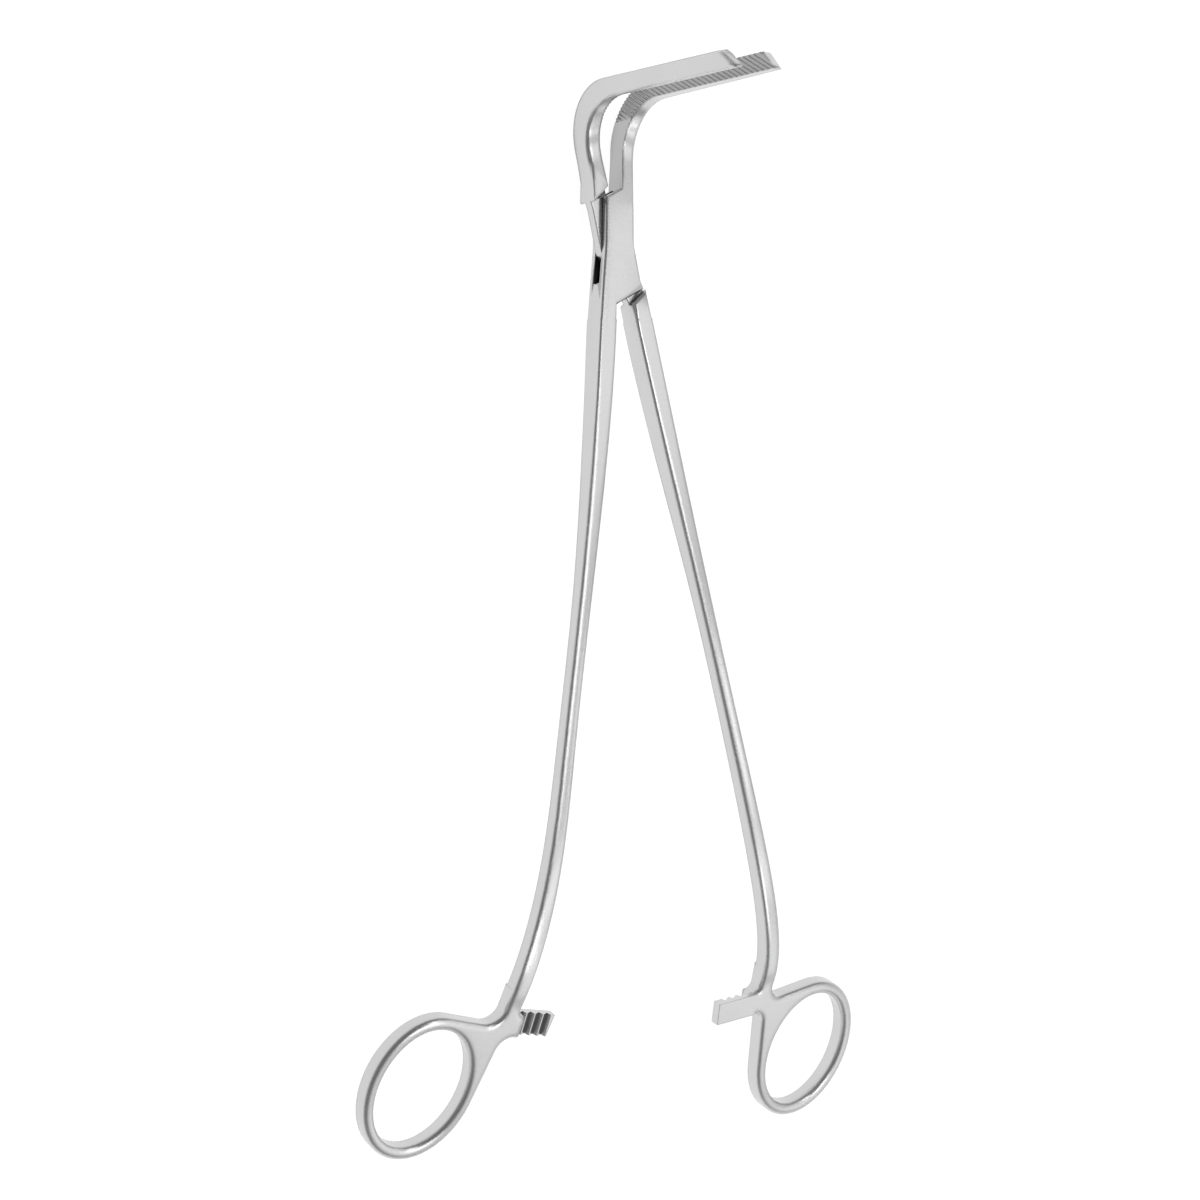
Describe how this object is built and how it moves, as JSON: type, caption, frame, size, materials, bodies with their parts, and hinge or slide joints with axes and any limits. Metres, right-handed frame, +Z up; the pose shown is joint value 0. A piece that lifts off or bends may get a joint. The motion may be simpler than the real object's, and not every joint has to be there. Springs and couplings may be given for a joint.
{
  "type": "intestinal clamp",
  "caption": "Right-angled intestinal clamp with a box lock, ring handles, a ratchet and serrated jaws that open and close about a riveted pin.",
  "frame": {"origin": "middle of the clamp's box on the surface that it lies on", "axes": "+Y along the clamp from the finger rings to the jaws, +Z up along the bent jaws, +X across, the way it opens"},
  "size_m": [0.1538, 0.2704, 0.0627],
  "materials": {
    "satin_steel": "satin",
    "pin_steel": "satin"
  },
  "bodies": {
    "female": {"female_half": "satin_steel", "box_lock_pin": "pin_steel"},
    "male": {"male_half": "satin_steel"}
  },
  "joints": [
    {"name": "box_lock", "type": "hinge", "parent": "female", "child": "male", "pos_m": [0, 0.08818, 0.00644], "axis": [0, 0.1491, 0.9888], "range_deg": [-15.4, 2]}
  ]
}
